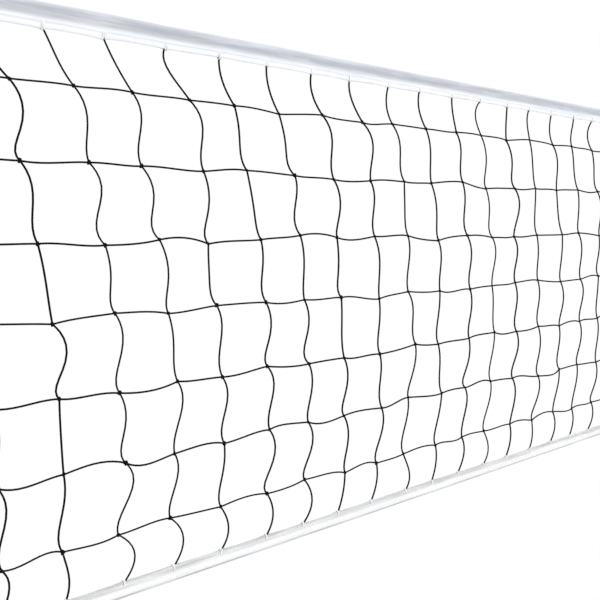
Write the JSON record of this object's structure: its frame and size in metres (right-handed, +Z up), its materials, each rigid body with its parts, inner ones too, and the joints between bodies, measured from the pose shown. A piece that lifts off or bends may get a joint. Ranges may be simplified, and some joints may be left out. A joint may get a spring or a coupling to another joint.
{
  "type": "volleyball net on poles",
  "caption": "Black knotted volleyball net with white tape bands, tied between two telescoping floor posts; one post carries a geared ratchet winch for the head cable.",
  "frame": {"origin": "on the floor midway between the two posts, below the net", "axes": "+X along the net to the post with the winch, +Z up, -Y the side that the crank is on"},
  "size_m": [10.6, 0.4, 2.4428],
  "materials": {
    "post_paint": "dark blue powder coat",
    "mast_metal": "satin anodised",
    "zinc": "zinc plated",
    "cast_black": "black enamel",
    "nylon": "moulded black nylon",
    "knob_plastic": "moulded black",
    "brass": "turned",
    "bronze": "sintered bronze",
    "spring_steel": "oiled",
    "gear_steel": "greased",
    "pulley_metal": "turned",
    "cable_coat": "clear coated steel rope",
    "white_tape": "woven white tape",
    "black_twine": "knotted twisted twine",
    "cord": "braided cord",
    "rod_fibre": "glass fibre rod",
    "grip_rubber": "moulded"
  },
  "bodies": {
    "posts": {"left_base_plate": "post_paint", "left_gussets": "post_paint", "left_outer_tube": "post_paint", "left_clamp_collar": "cast_black", "left_guide_bush": "nylon", "right_base_plate": "post_paint", "right_gussets": "post_paint", "right_outer_tube": "post_paint", "right_clamp_collar": "cast_black", "right_guide_bush": "nylon"},
    "left_clamp_pad_body": {"left_clamp_pad": "brass"},
    "left_clamp_screw_body": {"left_clamp_screw": "zinc", "left_clamp_knob": "knob_plastic"},
    "right_clamp_pad_body": {"right_clamp_pad": "brass"},
    "right_clamp_screw_body": {"right_clamp_screw": "zinc", "right_clamp_knob": "knob_plastic"},
    "left_mast": {"left_mast_tube": "mast_metal", "left_mast_foot": "nylon", "left_head_bracket": "post_paint", "left_head_bolt": "zinc", "left_net_hooks": "zinc", "left_hook_bolts": "zinc", "cable_thimble": "zinc", "cable_ferrule": "pulley_metal"},
    "right_mast": {"right_mast_tube": "mast_metal", "right_mast_foot": "nylon", "right_head_bracket": "post_paint", "right_head_bolt": "zinc", "right_net_hooks": "zinc", "right_hook_bolts": "zinc", "winch_frame": "zinc", "winch_u_bolts": "zinc", "drum_axle": "zinc", "pawl_pin": "zinc", "pawl_spring": "spring_steel", "head_cable": "cable_coat", "bottom_rope": "cord", "tie_cords": "cord", "top_band": "white_tape", "bottom_band": "white_tape", "left_side_band": "white_tape", "right_side_band": "white_tape", "side_rods": "rod_fibre", "eyelets": "brass", "net_mesh_left": "black_twine", "net_mesh_middle": "black_twine", "net_mesh_right": "black_twine"},
    "pulley": {"head_pulley": "pulley_metal", "pulley_bush": "bronze"},
    "drum": {"drum_spool": "zinc", "drum_gear": "gear_steel", "cable_winding": "cable_coat"},
    "crank": {"pinion_shaft": "gear_steel", "ratchet_wheel": "gear_steel", "crank_arm": "zinc", "crank_nut": "zinc", "grip_pin": "zinc"},
    "grip": {"crank_grip": "grip_rubber"},
    "pawl_body": {"pawl": "gear_steel"}
  },
  "joints": [
    {"name": "right_mast_slide", "type": "slide", "parent": "posts", "child": "right_mast", "axis": [0, 0, 1], "range_m": [-0.43, 0]},
    {"name": "left_mast_slide", "type": "slide", "parent": "posts", "child": "left_mast", "axis": [0, 0, 1], "range_m": [-0.43, 0]},
    {"name": "left_clamp_feed", "type": "slide", "parent": "posts", "child": "left_clamp_pad_body", "axis": [0, -1, 0], "range_m": [0, 0.003]},
    {"name": "left_clamp_turn", "type": "hinge", "parent": "left_clamp_pad_body", "child": "left_clamp_screw_body", "pos_m": [-5.1, -0.08, 0.895], "axis": [0, -1, 0], "range_deg": [0, 541]},
    {"name": "right_clamp_feed", "type": "slide", "parent": "posts", "child": "right_clamp_pad_body", "axis": [0, -1, 0], "range_m": [0, 0.003]},
    {"name": "right_clamp_turn", "type": "hinge", "parent": "right_clamp_pad_body", "child": "right_clamp_screw_body", "pos_m": [5.1, -0.08, 0.895], "axis": [0, -1, 0], "range_deg": [0, 541]},
    {"name": "crank_turn", "type": "hinge", "parent": "right_mast", "child": "crank", "pos_m": [5.183, -0.03, 1.632], "axis": [0, 1, 0], "continuous": true},
    {"name": "drum_turn", "type": "hinge", "parent": "right_mast", "child": "drum", "pos_m": [5.183, -0.015, 1.68], "axis": [0, 1, 0], "continuous": true},
    {"name": "pulley_turn", "type": "hinge", "parent": "right_mast", "child": "pulley", "pos_m": [5.1, 0, 2.374], "axis": [0, 1, 0], "continuous": true},
    {"name": "grip_spin", "type": "hinge", "parent": "crank", "child": "grip", "pos_m": [5.183, -0.117, 1.482], "axis": [0, 1, 0], "continuous": true},
    {"name": "pawl_lift", "type": "hinge", "parent": "right_mast", "child": "pawl_body", "pos_m": [5.212, -0.05, 1.656], "axis": [0, -1, 0], "range_deg": [-10.5, 9.5], "stiffness_Nm_per_rad": 0.02, "springref_deg": -28.65}
  ],
  "couplings": [
    {"joint": "left_mast_slide", "follows": "right_mast_slide", "ratio": 1},
    {"joint": "drum_turn", "follows": "crank_turn", "ratio": -0.33333},
    {"joint": "pulley_turn", "follows": "crank_turn", "ratio": 0.16071},
    {"joint": "left_clamp_turn", "follows": "left_clamp_feed", "rad_per_m": 3141.6},
    {"joint": "right_clamp_turn", "follows": "right_clamp_feed", "rad_per_m": 3141.6}
  ]
}
